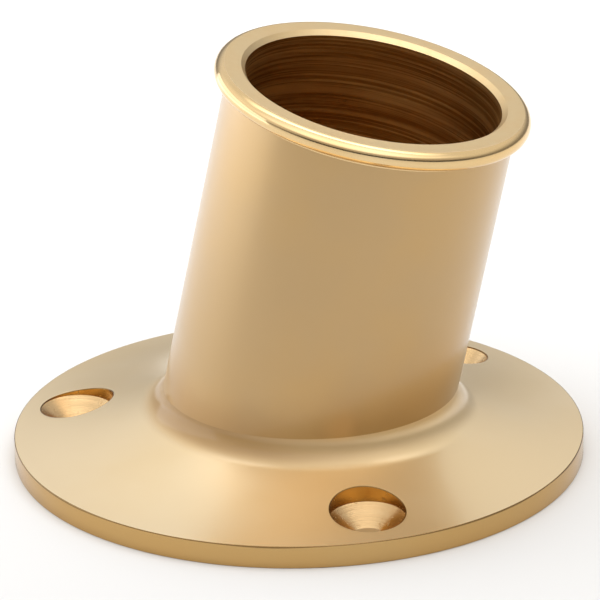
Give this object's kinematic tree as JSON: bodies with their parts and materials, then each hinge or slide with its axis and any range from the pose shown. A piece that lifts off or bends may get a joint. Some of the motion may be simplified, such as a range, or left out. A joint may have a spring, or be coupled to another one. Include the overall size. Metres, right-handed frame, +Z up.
{
  "type": "stanchion base",
  "caption": "Raked brass stanchion base: domed round flange with countersunk fixing holes and a leaning socket tube with a rounded rim, for a deck stanchion.",
  "frame": {"origin": "centre of the flange's underside, on the deck", "axes": "+Z up from the deck; the socket leans 12 degrees from +Z towards +X; the set screw is on the +Y side"},
  "size_m": [0.085, 0.085, 0.0633],
  "materials": {
    "flange": "polished cast brass",
    "tube": "polished brass, turned and unpolished in the bore",
    "bead": "polished brass with a brushed end face",
    "screw": "plain stainless steel"
  },
  "bodies": {
    "base": {"base_flange": "flange", "socket_tube": "tube", "rim_bead": "bead"},
    "set_screw": {"set_screw": "screw"}
  },
  "joints": [
    {"name": "set_screw_travel", "type": "slide", "parent": "base", "child": "set_screw", "axis": [0, -1, 0], "range_m": [-0.0015, 0.003]}
  ]
}
